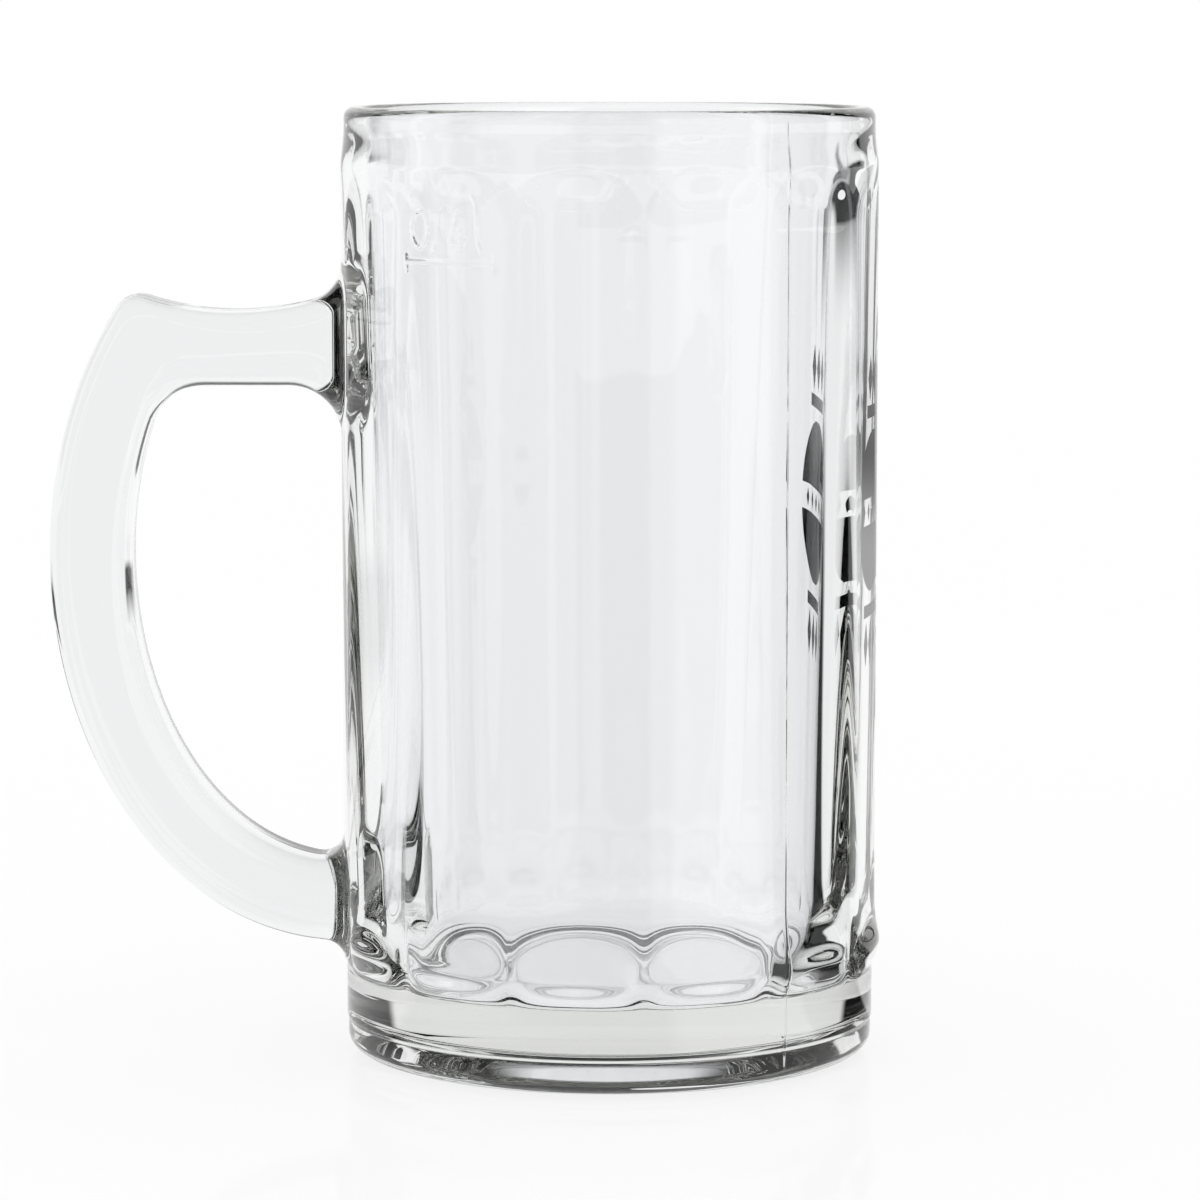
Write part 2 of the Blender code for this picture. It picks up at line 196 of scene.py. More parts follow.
@dataclass(frozen=True)
class VesselForm:
    """Sizes of the panelled vessel, and the surfaces that they make."""

    height: float = 0.146
    body_radius: float = 0.04125
    rim_inset: float = 0.00055
    base_inset: float = 0.0004
    lip_outer_round: float = 0.0016
    lip_inner_round: float = 0.0012
    shoulder_height: float = 0.0060
    base_band_height: float = 0.0138
    heel_height: float = 0.0056
    heel_inset: float = 0.0002
    heel_round: float = 0.0030
    heel_draw: float = 0.0042
    heel_crease: float = 0.0003
    rim_wall: float = 0.0034
    floor_wall: float = 0.0092
    floor_thickness: float = 0.0118
    floor_fillet: float = 0.0050
    foot_land: float = 0.0016
    punt_slope: float = math.radians(46.5)
    punt_edge: float = math.radians(36.0)
    punt_cone: float = 0.0035
    punt_round: float = 0.0122
    punt_dome: float = 0.0005
    places: int = 13
    panel_land: float = 0.0036
    arch_drop: float = 0.0092
    panel_foot_rise: float = 0.0030
    runout_limit: float = 0.95
    widest_turn: float = 1.2
    bead_top: float = 0.0270
    bead_crest: float = 0.0185
    bead_foot: float = 0.0138
    bead_swell: float = 0.0019
    bead_nose: float = 0.60
    bead_blend: float = 0.0018
    bead_half_width: float = 0.0093
    arris_blend: float = 0.00040
    ridge_taper: float = 0.0065
    seam_turn: float = math.radians(130.2)
    seam_height: float = 0.00012
    seam_half: float = 0.00028
    hub_share: float = 0.06
    floor_shares: tuple[float, ...] = (0.3, 0.6, 0.85)
    bore_steps: int = 25
    fillet_steps: int = 18
    lip_steps: int = 8
    heel_steps: int = 12
    punt_steps: int = 10
    dome_steps: int = 8
    mark: CapacityMark = field(default_factory=CapacityMark)

    @property
    def place_angle(self) -> float:
        """The angle from one panel to the next."""
        return 2.0 * math.pi / self.places

    @property
    def half_panel(self) -> float:
        """Half of a panel's width."""
        return self.body_radius * math.sin(self.place_angle / 2.0) - self.panel_land / 2.0

    @property
    def apothem(self) -> float:
        """A panel's distance from the axis."""
        return math.sqrt(self.body_radius**2 - self.half_panel**2)

    @property
    def arch_top(self) -> float:
        """Height of the arches' crowns."""
        return self.height - self.arch_drop

    @property
    def rim_radius(self) -> float:
        """Outside radius of the plain rim."""
        return self.body_radius - self.rim_inset

    @property
    def base_radius(self) -> float:
        """Outside radius of the plain base band."""
        return self.body_radius - self.base_inset

    def turned_radius(self, height: Array) -> Array:
        """Find the outside radius before the panels are pressed in.

        Args:
            height: Heights, from the heel to the lip.

        Returns:
            The radius at each height.
        """
        rim = self.rim_inset * eased(height, self.arch_top, self.arch_top + self.shoulder_height)
        step = self.base_inset
        band = self.base_band_height
        base = step * (1.0 - eased(height, band - 0.5 * step, band + self.ridge_taper))
        crease = (self.heel_height - self.heel_crease, self.heel_height + self.heel_crease)
        heel = self.heel_inset * (1.0 - eased(height, *crease))
        return self.body_radius - rim - base - heel

    def runout(self, rise: float, sag: float, past: Array) -> Array:
        """Find how far a panel's face has come out of the glass, past the end of its flat.

        Args:
            rise: How long the curved end is.
            sag: How far it comes out in that length.
            past: Distances past the end of the flat.

        Returns:
            The distance outwards at each.
        """
        radius = (rise**2 + sag**2) / (2.0 * sag)
        reach = np.clip(past, 0.0, self.runout_limit * radius)
        return radius - np.sqrt(radius**2 - reach**2)

    def bead(self, off: Array, height: Array) -> Array:
        """Find how far the bead at a panel's foot swells out of the panel.

        Args:
            off: Turns from the panel's middle.
            height: Heights above the underside.

        Returns:
            The swell at each pair of turn and height.
        """
        beside = self.apothem * np.tan(np.clip(off, -self.widest_turn, self.widest_turn))
        across = np.clip(beside / self.bead_half_width, -1.0, 1.0)
        fall = np.maximum(self.bead_top - height, 0.0) / (self.bead_top - self.bead_crest)
        nose = self.bead_nose * np.maximum(height - self.bead_foot, 0.0)
        swell = np.maximum(soft_min(self.bead_swell * fall**2, nose, self.bead_blend), 0.0)
        return swell * (1.0 - across**2)

    def wall_radius(self, turn: Array, height: Array) -> Array:
        """Outside radius of the finished wall.

        Args:
            turn: Angles about the axis.
            height: Heights, from the heel to the lip.

        Returns:
            The radius at each pair of turn and height.
        """
        turned = self.turned_radius(height)
        number = np.clip(np.round(turn / self.place_angle), 1, self.places - 1)
        off = turn - number * self.place_angle
        sag = self.body_radius - self.apothem
        top = self.runout(self.half_panel, sag, height - (self.arch_top - self.half_panel))
        flat_foot = self.base_band_height + self.panel_foot_rise
        bottom = self.runout(self.panel_foot_rise, sag, flat_foot - height)
        face = (self.apothem + top + bottom) / np.cos(np.clip(off, -self.widest_turn, self.widest_turn))
        radius = soft_min(turned, face, self.arris_blend) + self.bead(off, height)
        away = np.abs(turn - self.seam_turn) * self.body_radius
        radius = radius + self.seam_height * (1.0 - eased(away, 0.0, self.seam_half))
        on_panel = number == self.mark.place
        return radius + np.where(on_panel, self.mark.relief(self.apothem * np.tan(off), height), 0.0)

    def bore_profile(self) -> list[Point]:
        """Draw the half section of the inside.

        Returns:
            Its points, from near the middle of the floor to the top of the lip.
        """
        low = (self.body_radius - self.floor_wall, self.floor_thickness + self.floor_fillet)
        high = (self.rim_radius - self.rim_wall, self.height - self.lip_inner_round)
        lean = math.degrees(math.atan2(high[0] - low[0], high[1] - low[1]))
        flat = low[0] - self.floor_fillet
        floor = [(flat * share, self.floor_thickness) for share in (self.hub_share, *self.floor_shares)]
        fillet = arc((flat, low[1]), self.floor_fillet, -90.0, -lean, self.fillet_steps)
        rise = []
        for share in np.linspace(0.0, 1.0, self.bore_steps + 1)[1:-1]:
            rise.append((low[0] + share * (high[0] - low[0]), low[1] + share * (high[1] - low[1])))
        centre = (high[0] + self.lip_inner_round, high[1])
        lip = arc(centre, self.lip_inner_round, 180.0 - lean, 90.0, self.lip_steps)
        return floor + fillet + rise + lip

    def lip_profile(self) -> list[Point]:
        """Half section of the lip's outer round, from its top down."""
        centre = (self.rim_radius - self.lip_outer_round, self.height - self.lip_outer_round)
        return arc(centre, self.lip_outer_round, 90.0, 0.0, self.lip_steps)[:-1]

    def foot_profile(self) -> list[Point]:
        """Draw the half section of the heel and the hollow underside.

        Returns:
            Its points, down and in to near the axis.
        """
        radius = self.base_radius - self.heel_inset
        heel = []
        for turn in np.radians(np.linspace(0.0, -90.0, self.heel_steps + 1))[1:]:
            inwards = self.heel_draw * (1.0 - math.cos(turn))
            heel.append((radius - inwards, self.heel_round * (1.0 + math.sin(turn))))
        edge = radius - self.heel_draw - self.foot_land
        start = (edge - self.punt_cone / math.tan(self.punt_slope), self.punt_cone)
        flank = [(edge, 0.0), ((edge + start[0]) / 2.0, start[1] / 2.0)]
        for slope in np.linspace(self.punt_slope, self.punt_edge, self.punt_steps + 1):
            inwards = self.punt_round * (math.sin(self.punt_slope) - math.sin(slope))
            upwards = self.punt_round * (math.cos(slope) - math.cos(self.punt_slope))
            flank.append((start[0] - inwards, start[1] + upwards))
        inner, roof = flank[-1]
        dome = []
        for share in np.linspace(1.0, self.hub_share, self.dome_steps + 1)[1:]:
            dome.append((inner * share, roof + self.punt_dome * (1.0 - share**2)))
        return heel + flank + dome


@dataclass(frozen=True)
class HandleForm:
    """Sizes of the handle, and the sections that they make."""

    reach: float = 0.0447
    grip_depth: float = 0.0124
    grip_width: float = 0.0160
    foot_lift: float = 0.0175
    arm_top: float = 0.1179
    arm_depth: float = 0.0144
    saddle_dip: float = 0.0031
    thumb_sine: float = 0.687
    peak_round: float = 0.0030
    corner_round: float = 0.0062
    inner_edge: float = 0.0044
    outer_edge: float = 0.0030
    root_fillet: float = 0.0042
    foot_fillet: float = 0.0032
    arm_fillet: float = 0.0080
    side_fillet: float = 0.0025
    seam_height: float = 0.00012
    root_steps: int = 14
    arm_steps: int = 14
    corner_steps: int = 14
    grip_steps: int = 64
    least_share: float = 0.4
    halvings: int = 40

    @property
    def half_height(self) -> float:
        """Half height of the grip's outer ellipse."""
        return (self.arm_top - self.foot_lift) / (1.0 + self.thumb_sine)

    @property
    def centre(self) -> float:
        """Height of the grip ellipses' centre."""
        return self.foot_lift + self.half_height

    @staticmethod
    def flare(out: Array, fillet: float) -> Array:
        """How far a fillet spreads at a distance from the wall."""
        reach = np.clip(fillet - out, 0.0, fillet)
        return fillet - np.sqrt(fillet**2 - reach**2)

    def saddle(self, out: Array) -> Array:
        """Height of the upper arm's hollowed top at a distance from the wall."""
        half = self.reach * math.sqrt(1.0 - self.thumb_sine**2) / 2.0
        return self.arm_top - self.saddle_dip * (1.0 - ((out - half) / half) ** 2)

    def ellipse(self, inset: float, angle: Array) -> Array:
        """Points of a grip ellipse, as distance from the wall and height."""
        angle = np.atleast_1d(angle)
        out = (self.reach - inset) * np.cos(angle)
        return np.stack([out, self.centre + (self.half_height - inset) * np.sin(angle)], axis=1)

    def tracks(self) -> tuple[Array, Array]:
        """Run the handle's outer and inner edges in step, from the upper root to the lower.

        Returns:
            Two arrays of points, each a distance from the wall and a height.
        """
        root = self.arm_fillet * (1.0 - np.cos(np.linspace(0.0, math.pi / 2.0, self.root_steps + 1)))
        under = self.arm_top - self.arm_depth
        outer = [np.stack([root, self.saddle(root) + self.flare(root, self.root_fillet)], axis=1)]
        inner = [np.stack([root, under - self.flare(root, self.arm_fillet)], axis=1)]

        thumb = math.asin(self.thumb_sine)
        peak = self.ellipse(0.0, thumb)[0]
        inner_half = self.half_height - self.grip_depth
        bend = math.asin((under - self.centre) / inner_half)
        corner = self.ellipse(self.grip_depth, bend)[0]
        share = np.linspace(0.0, 1.0, self.arm_steps + 1)[1:]
        top = self.arm_fillet + share * (peak[0] - self.peak_round - self.arm_fillet)
        low = self.arm_fillet + share * (corner[0] - self.corner_round - self.arm_fillet)
        outer.append(np.stack([top, self.saddle(top)], axis=1))
        inner.append(np.stack([low, np.full_like(low, under)], axis=1))

        thumb_end = thumb - self.peak_round / self.half_height
        bend_end = bend - self.corner_round / inner_half
        outer.append(bezier(outer[-1][-1], peak, self.ellipse(0.0, thumb_end)[0], self.corner_steps))
        below = self.ellipse(self.grip_depth, bend_end)[0]
        inner.append(bezier(inner[-1][-1], corner, below, self.corner_steps))

        share = np.linspace(0.0, 1.0, self.grip_steps + 1)[1:]
        outer_end = -math.acos(self.arm_fillet / self.reach)
        inner_end = -math.acos(self.arm_fillet / (self.reach - self.grip_depth))
        outer.append(self.ellipse(0.0, thumb_end + share * (outer_end - thumb_end)))
        inner.append(self.ellipse(self.grip_depth, bend_end + share * (inner_end - bend_end)))

        back = root[-2::-1]
        drop = self.half_height * np.sqrt(1.0 - (back / self.reach) ** 2)
        inner_drop = inner_half * np.sqrt(1.0 - (back / (self.reach - self.grip_depth)) ** 2)
        outer.append(np.stack([back, self.centre - drop - self.flare(back, self.foot_fillet)], axis=1))
        inner.append(np.stack([back, self.centre - inner_drop + self.flare(back, self.root_fillet)], axis=1))
        return np.concatenate(outer), np.concatenate(inner)

    def sections(self, square: Array, wall: float) -> Array:
        """Make the handle's rings.

        Args:
            square: Points round a unit square, across the handle and from its inner to its outer edge.
            wall: The vessel's outside radius at the roots.

        Returns:
            An array of rings of points in the part's frame.
        """
        outer, inner = self.tracks()
        middle = (outer + inner) / 2.0
        lengthwise = outer - inner
        depth = np.linalg.norm(lengthwise, axis=1)[:, None]
        out = np.minimum(outer[:, 0], inner[:, 0])[:, None]
        side = self.flare(out, self.side_fillet)
        half_width = self.grip_width / 2.0 + side
        edge = np.where(square[None, :, 1] > 0.0, self.outer_edge, self.inner_edge) + side
        low = np.full((len(depth), len(square)), self.least_share)
        high = np.ones_like(low)
        for _ in range(self.halvings):
            share = (low + high) / 2.0
            across = np.abs(share * square[None, :, 0] * half_width) - (half_width - edge)
            along = np.abs(share * square[None, :, 1] * depth / 2.0) - (depth / 2.0 - edge)
            gap = np.hypot(np.maximum(across, 0.0), np.maximum(along, 0.0))
            gap = gap + np.minimum(np.maximum(across, along), 0.0) - edge
            low = np.where(gap < 0.0, share, low)
            high = np.where(gap < 0.0, high, share)
        across = low * square[None, :, 0] * half_width
        along = low * square[None, :, 1] / 2.0
        on_seam = np.abs(square[None, :, 0]) < NEAR_ZERO
        flash = self.seam_height * on_seam * eased(out, 0.0, self.arm_fillet)
        along = along + np.sign(along) * flash / depth
        far = middle[:, None, 0] + along * lengthwise[:, None, 0]
        height = middle[:, None, 1] + along * lengthwise[:, None, 1]
        wrap = 1.0 - eased(out, 0.0, 2.0 * self.arm_fillet)
        far = far - wrap * (wall - np.sqrt(wall**2 - across**2))
        return np.stack([-(wall + far), across, height], axis=2)


@dataclass(frozen=True)
class RootPatch:
    """A window in the vessel's grid, where a root of the handle joins the wall."""

    side: Side
    top: float
    bottom: float


@dataclass
class MugGlass:
    """The mug's glass: vessel and handle as one smooth piece, as they are when pressed."""

    vessel: VesselForm = field(default_factory=VesselForm)
    handle: HandleForm = field(default_factory=HandleForm)
    window_turn: float = math.radians(16.1)
    window_columns: int = 28
    window_rows: int = 42
    window_gap: float = 0.004
    panel_columns: int = 32
    mark_columns: int = 76
    seam_columns: int = 6
    seam_clearance: float = 1.15
    band_row: float = 0.0126
    crease_rows: float = 0.0004
    ring_steps: int = 4
    upper: RootPatch = RootPatch(Side.UPPER, 0.1232, 0.0935)
    lower: RootPatch = RootPatch(Side.LOWER, 0.0364, 0.0132)
    vertices: list[Array] = field(default_factory=list)
    faces: list[Array] = field(default_factory=list)
    count: int = 0

    def add(self, points: Array) -> Array:
        """Keep points as vertices.

        Args:
            points: An array whose last axis is x, y, z.

        Returns:
            Their numbers, in the array's own shape.
        """
        flat = points.reshape(-1, 3)
        numbers = np.arange(self.count, self.count + len(flat)).reshape(points.shape[:-1])
        self.vertices.append(flat)
        self.count += len(flat)
        return numbers

    def quads(self, numbers: Array, closed: bool = True, keep: Array | None = None) -> None:
        """Join a grid of vertices with quads.

        Args:
            numbers: Vertex numbers, in rows and columns.
            closed: Whether the last column joins the first.
            keep: Which quads to make, or None for all.
        """
        after = np.roll(numbers, -1, axis=1) if closed else numbers[:, 1:]
        first = numbers if closed else numbers[:, :-1]
        quads = np.stack([first[:-1], first[1:], after[1:], after[:-1]], axis=2)
        self.faces.append(quads[keep] if keep is not None else quads.reshape(-1, 4))

    def columns(self) -> Array:
        """List the grid's turns.

        Returns:
            The turns, from one side of the handle's window round to the other.
        """
        vessel = self.vessel
        window = np.linspace(-self.window_turn, self.window_turn, self.window_columns + 1)
        turns = [window]
        for place in range(1, vessel.places):
            steps = self.mark_columns if place == vessel.mark.place else self.panel_columns
            start = (place - 0.5) * vessel.place_angle
            turns.append(start + np.arange(steps) * vessel.place_angle / steps)
        turns.append(np.array([(vessel.places - 0.5) * vessel.place_angle]))
        seam = np.linspace(-1.0, 1.0, self.seam_columns + 1) * vessel.seam_half / vessel.body_radius
        found = np.concatenate(turns)
        beside = self.seam_clearance * vessel.seam_half / vessel.body_radius
        found = found[np.abs(found - vessel.seam_turn) > beside]
        found = np.unique(np.concatenate([found, vessel.seam_turn + seam]))
        inside = np.abs(found) <= self.window_turn + NEAR_ZERO
        start = self.window_turn + self.window_gap
        round_the_back = (found > start) & (found < 2.0 * math.pi - start)
        return found[inside | round_the_back]

    def heights(self) -> Array:
        """List the wall's rows.

        Returns:
            Their heights, from below the lip down to the heel.
        """
        vessel = self.vessel
        shoulder = vessel.arch_top + vessel.shoulder_height
        above = vessel.heel_height + self.crease_rows
        below = vessel.heel_height - self.crease_rows
        zones = [
            (vessel.height - vessel.lip_outer_round, shoulder, 3),
            (shoulder, vessel.mark.top, 21),
            (vessel.mark.top, self.upper.top, 50),
            (self.upper.top, self.upper.bottom, self.window_rows),
            (self.upper.bottom, self.lower.top, 16),
            (self.lower.top, self.lower.bottom, self.window_rows),
            (self.lower.bottom, self.band_row, 3),
            (self.band_row, above, 4),
            (above, below, 5),
            (below, vessel.heel_round, 2),
        ]
        rows = [np.linspace(start, end, steps + 1)[:-1] for start, end, steps in zones]
        return np.concatenate([*rows, [vessel.heel_round]])

    def shape_vessel(self) -> tuple[Array, Array, Array]:
        """Make the vessel's skin, with a window at each root.

        Returns:
            The wall's vertex numbers, the rows' heights and the columns' turns.
        """
        turns, heights = self.columns(), self.heights()

        def turned(profile: list[Point]) -> Array:
            """Turn a half section about the axis."""
            radius, height = np.array(profile).T[:, :, None]
            return self.polar(radius, turns[None, :], height)

        wall = self.vessel.wall_radius(turns[None, :], heights[:, None])
        bore, lip, foot = self.vessel.bore_profile(), self.vessel.lip_profile(), self.vessel.foot_profile()
        inside = self.add(turned(bore))
        rim = self.add(turned(lip[1:]))
        outside = self.add(self.polar(wall, turns[None, :], heights[:, None]))
        under = self.add(turned(foot))
        keep = np.ones((len(heights) - 1, len(turns)), dtype=bool)
        for patch in (self.upper, self.lower):
            first, last = self.window(heights, patch)
            keep[first:last, : self.window_columns] = False
        self.quads(np.concatenate([inside, rim, outside[:1]]))
        self.quads(outside, keep=keep)
        self.quads(np.concatenate([outside[-1:], under]))
        for ring, height in ((inside[0], bore[0][1]), (under[-1], foot[-1][1])):
            hub = self.add(np.array([[0.0, 0.0, height]]))
            self.faces.append(np.stack([ring, np.roll(ring, -1), np.full_like(ring, hub[0])], axis=1))
        return outside, heights, turns

    @staticmethod
    def polar(radius: Array, turn: Array, height: Array) -> Array:
        """Turn radius, turn and height into points."""
        radius, turn, height = np.broadcast_arrays(radius, turn, height)
        return np.stack([-radius * np.cos(turn), -radius * np.sin(turn), height], axis=-1)

    @staticmethod
    def window(heights: Array, patch: RootPatch) -> tuple[int, int]:
        """Find the first and last row of a root's window."""
        return int(np.argmin(np.abs(heights - patch.top))), int(np.argmin(np.abs(heights - patch.bottom)))

    def border(self, grid: Array, heights: Array, patch: RootPatch) -> Array:
        """Follow the edge of a root's window.

        Args:
            grid: What to read, in the wall's rows and columns.
            heights: The rows' heights.
            patch: The window.

        Returns:
            The entries round the edge, from the handle's outer edge on.
        """
        first, last = self.window(heights, patch)
        pane = grid[first : last + 1, : self.window_columns + 1]
        pane = pane if patch.side is Side.UPPER else pane[::-1]
        return np.concatenate([pane[0, :-1], pane[:-1, -1], pane[-1, :0:-1], pane[:0:-1, 0]])

    def shape_handle(self, outside: Array, heights: Array, turns: Array) -> None:
        """Make the handle's skin and join it to the windows in the wall.

        Args:
            outside: The wall's vertex numbers.
            heights: The rows' heights.
            turns: The columns' turns.
        """
        columns = np.linspace(1.0, -1.0, self.window_columns + 1)
        rows = np.linspace(1.0, -1.0, self.window_rows + 1)
        unit = np.stack(np.broadcast_arrays(columns[None, :], rows[:, None]), axis=2)
        square = np.concatenate([unit[0, :-1], unit[:-1, -1], unit[-1, :0:-1], unit[:0:-1, 0]])
        rings = self.handle.sections(square, self.vessel.body_radius)
        numbers = self.add(rings[1:-1])
        turn_grid, height_grid = np.broadcast_arrays(turns[None, :], heights[:, None])
        ends = []
        for patch, ring in ((self.upper, rings[0]), (self.lower, rings[-1])):
            edge = self.border(outside, heights, patch)
            edge_turn = self.border(turn_grid, heights, patch)
            edge_height = self.border(height_grid, heights, patch)
            ring_turn = np.arctan2(-ring[:, 1], -ring[:, 0])
            share = np.linspace(0.0, 1.0, self.ring_steps + 1)[:-1, None]
            turn = ring_turn + share * (edge_turn - ring_turn)
            height = ring[:, 2] + share * (edge_height - ring[:, 2])
            loops = self.add(self.polar(self.vessel.wall_radius(turn, height), turn, height))
            ends.append(np.concatenate([edge[None, :], loops[::-1]]))
        self.quads(np.concatenate([ends[0], numbers, ends[1][::-1]]))

    def build(self) -> bpy.types.Object:
        """Make the glass as one closed mesh.

        Returns:
            The object, in the part's frame.
        """
        self.shape_handle(*self.shape_vessel())
        mesh = bpy.data.meshes.new("mug_glass")
        polygons = [tuple(polygon) for group in self.faces for polygon in group.tolist()]
        mesh.from_pydata(np.concatenate(self.vertices).tolist(), [], polygons)
        shape = bmesh.new()
        shape.from_mesh(mesh)
        loose = [vertex for vertex in shape.verts if not vertex.link_faces]
        bmesh.ops.delete(shape, geom=loose, context="VERTS")
        bmesh.ops.recalc_face_normals(shape, faces=shape.faces)
        shape.to_mesh(mesh)
        shape.free()
        mesh.shade_smooth()
        thing = bpy.data.objects.new("mug_glass", mesh)
        bpy.context.scene.collection.objects.link(thing)
        return thing

    def dress(self, thing: bpy.types.Object, finish: "GlassFinish") -> None:
        """Give the glass its finish and its place in the frame."""
        thing.data.materials.append(finish.material())
        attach(thing, "root")
        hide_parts("vessel", "handle")


@dataclass(frozen=True)
class PrintForm:
    """Sizes of the plain ornament that is fired onto the wall opposite the handle."""

    facing: float = math.radians(194.0)
    middle: float = 0.0830
    oval_half: float = 0.0170
    oval_rise: float = 0.0128
    band_half: float = 0.0021
    bar_half: float = 0.0095
    bar_rise: float = 0.0146
    bar_depth: float = 0.0020
    leaf_half: float = 0.0026
    leaf_length: float = 0.0070
    leaf_pitch: float = 2.4
    leaves: int = 3
    stud_half: float = 0.0014
    stud_pitch: float = 4.0
    studs: int = 5
    tip: float = 0.00008
    oval_cut: float = 0.985
    steps: int = 12

    def diamond(self, across: float, height: float, half: float, rise: float) -> list[Row]:
        """List a diamond's rows, each a height with its left and right end."""
        rows = ((-rise, self.tip), (0.0, half), (rise, self.tip))
        return [(height + up, across - out, across + out) for up, out in rows]

    def half_oval(self, way: float) -> list[Row]:
        """List the rows of the oval's upper or lower half, which starts past the clear band."""
        rows = []
        for rise in np.linspace(self.band_half, self.oval_cut * self.oval_rise, self.steps + 1):
            out = self.oval_half * math.sqrt(1.0 - (rise / self.oval_rise) ** 2)
            rows.append((self.middle + way * float(rise), -out, out))
        return rows

    def patches(self) -> list[list[Row]]:
        """List the ornament's patches.

        Returns:
            Each patch as rows up or down the wall.
        """
        found = []
        for way in (1.0, -1.0):
            found.append(self.half_oval(way))
            bar = self.middle + way * self.bar_rise
            ends = (bar, bar + way * self.bar_depth)
            found.append([(height, -self.bar_half, self.bar_half) for height in ends])
            leaf_middle = ends[1] + way * (self.leaf_length / 2.0 + self.stud_half / 2.0)
            for leaf in range(self.leaves):
                out = self.leaf_pitch * self.leaf_half * (leaf - (self.leaves - 1) / 2.0)
                found.append(self.diamond(out, leaf_middle, self.leaf_half, self.leaf_length / 2.0))
        for stud in range(self.studs):
            out = self.stud_pitch * self.stud_half * (stud - (self.studs - 1) / 2.0)
            found.append(self.diamond(out, self.middle, self.stud_half, self.stud_half))
        return found


@dataclass
class WallPrint:
    """The fired ornament: thin enamel that follows the wall."""

    vessel: VesselForm = field(default_factory=VesselForm)
    form: PrintForm = field(default_factory=PrintForm)
    sunk: float = 0.00003
    thickness: float = 0.00003
    spacing: float = 0.0006

    def layer(self, across: Array, height: Array, depth: float) -> Array:
        """Lay points on the wall at a depth below its face."""
        turn = self.form.facing + across / self.vessel.body_radius
        return MugGlass.polar(self.vessel.wall_radius(turn, height) - depth, turn, height)

    def refined(self, rows: Array) -> Array:
        """Add rows between a patch's own, so that it follows the wall.

        Args:
            rows: The patch's own rows.

        Returns:
            All its rows, in order.
        """
        found = [rows[:1]]
        for first, second in zip(rows, rows[1:]):
            steps = max(1, math.ceil(abs(second[0] - first[0]) / self.spacing))
            share = np.linspace(0.0, 1.0, steps + 1)[1:, None]
            found.append(first + share * (second - first))
        return np.concatenate(found)

    def build(self) -> bpy.types.Object:
        """Make the ornament's mesh.

        Returns:
            The ornament's object.
        """
        shape = bmesh.new()
        for patch in self.form.patches():
            rows = self.refined(np.array(patch))
            columns = max(2, math.ceil(float(np.max(rows[:, 2] - rows[:, 1])) / self.spacing))
            share = np.linspace(0.0, 1.0, columns + 1)
            across = rows[:, 1:2] + share * (rows[:, 2:3] - rows[:, 1:2])
            sheets = []
            for depth in (self.sunk, self.sunk + self.thickness):
                points = self.layer(across, rows[:, 0:1], depth)
                sheets.append([[shape.verts.new(point) for point in row] for row in points])
            self.close(shape, sheets)
        bmesh.ops.recalc_face_normals(shape, faces=shape.faces)
        mesh = bpy.data.meshes.new("wall_print")
        shape.to_mesh(mesh)
        shape.free()
        thing = bpy.data.objects.new("wall_print", mesh)
        bpy.context.scene.collection.objects.link(thing)
        return thing

    @staticmethod
    def close(shape: bmesh.types.BMesh, sheets: list[list[list[bmesh.types.BMVert]]]) -> None:
        """Add the faces of one patch: its two sheets and its rim.

        Args:
            shape: The mesh to add to.
            sheets: The outer and the inner sheet's rows of points.
        """
        for rows in sheets:
            for first, second in zip(rows, rows[1:]):
                for place in range(len(first) - 1):
                    shape.faces.new((first[place], first[place + 1], second[place + 1], second[place]))
        rims = []
        for rows in sheets:
            right = [row[-1] for row in rows[1:]]
            top = rows[-1][-2::-1]
            left = [row[0] for row in rows[-2:0:-1]]
            rims.append(rows[0] + right + top + left)
        for place in range(len(rims[0])):
            after = (place + 1) % len(rims[0])
            shape.faces.new((rims[0][place], rims[0][after], rims[1][after], rims[1][place]))

    def dress(self, thing: bpy.types.Object, finish: "PrintFinish") -> None:
        """Give the ornament its finish and its place on the mug."""
        thing.data.materials.append(finish.material())
        thing.data.shade_flat()
        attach(thing, "root")


@dataclass(frozen=True)
class GlassFinish:
    """Clear pressed glass: a faint grey-green body with a slightly uneven surface."""

    name: str = "clear_glass"
    ior: float = 1.52
    tint: Colour = (0.984, 0.989, 1.0)
    absorb: Colour = (0.38, 0.40, 0.32)
    density: float = 5.0
    ripple_scale: float = 55.0
    ripple_depth: float = 0.00002

    def material(self) -> bpy.types.Material:
        """Make the material.

        Returns:
            The material.
        """
        material = bpy.data.materials.new(self.name)
        material.use_nodes = True
        tree = material.node_tree
        shader = tree.nodes["Principled BSDF"]
        shader.inputs["Base Color"].default_value = (*self.tint, 1.0)
        shader.inputs["IOR"].default_value = self.ior
        shader.inputs["Transmission Weight"].default_value = 1.0
        shader.inputs["Roughness"].default_value = 0.0
        place = tree.nodes.new("ShaderNodeTexCoord")
        ripple = tree.nodes.new("ShaderNodeTexNoise")
        ripple.inputs["Scale"].default_value = self.ripple_scale
        ripple.inputs["Detail"].default_value = 1.0
        bump = tree.nodes.new("ShaderNodeBump")
        bump.inputs["Distance"].default_value = self.ripple_depth
        tree.links.new(place.outputs["Object"], ripple.inputs["Vector"])
        tree.links.new(ripple.outputs["Fac"], bump.inputs["Height"])
        tree.links.new(bump.outputs["Normal"], shader.inputs["Normal"])
        volume = tree.nodes.new("ShaderNodeVolumeAbsorption")
        volume.inputs["Color"].default_value = (*self.absorb, 1.0)
        volume.inputs["Density"].default_value = self.density
        tree.links.new(volume.outputs["Volume"], tree.nodes["Material Output"].inputs["Volume"])
        return material


